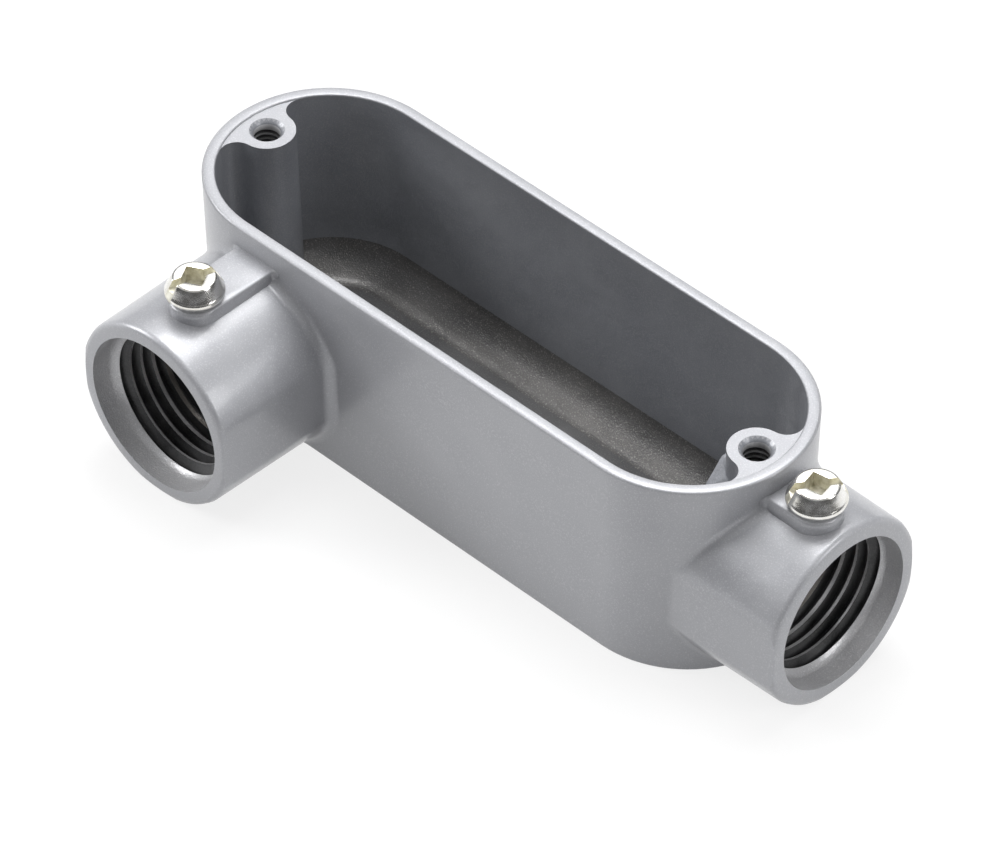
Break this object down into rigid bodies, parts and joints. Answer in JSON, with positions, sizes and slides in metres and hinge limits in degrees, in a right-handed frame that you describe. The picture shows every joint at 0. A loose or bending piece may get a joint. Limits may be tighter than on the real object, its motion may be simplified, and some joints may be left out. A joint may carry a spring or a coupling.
{
  "type": "conduit body",
  "caption": "Open-fronted cast metal conduit body with a bored hub on its end and another on its side, each hub with a clamping screw for thin-wall conduit.",
  "frame": {"origin": "middle of the flat back of the box", "axes": "+Z out of the open front, +X along the box towards the end hub, the side hub leaves towards -Y"},
  "size_m": [0.1018, 0.0488, 0.0302],
  "materials": {
    "grey_coat": "fine grey powder coat with a slight sparkle",
    "zinc": "bright zinc plate"
  },
  "bodies": {
    "casting": {"conduit_body": "grey_coat"},
    "side_screw": {"side_clamp_screw": "zinc"},
    "end_screw": {"end_clamp_screw": "zinc"}
  },
  "joints": [
    {"name": "side_screw_travel", "type": "slide", "parent": "casting", "child": "side_screw", "axis": [0, 0, 1], "range_m": [-0.0008, 0.004]},
    {"name": "end_screw_travel", "type": "slide", "parent": "casting", "child": "end_screw", "axis": [0, 0, 1], "range_m": [-0.0008, 0.004]}
  ]
}
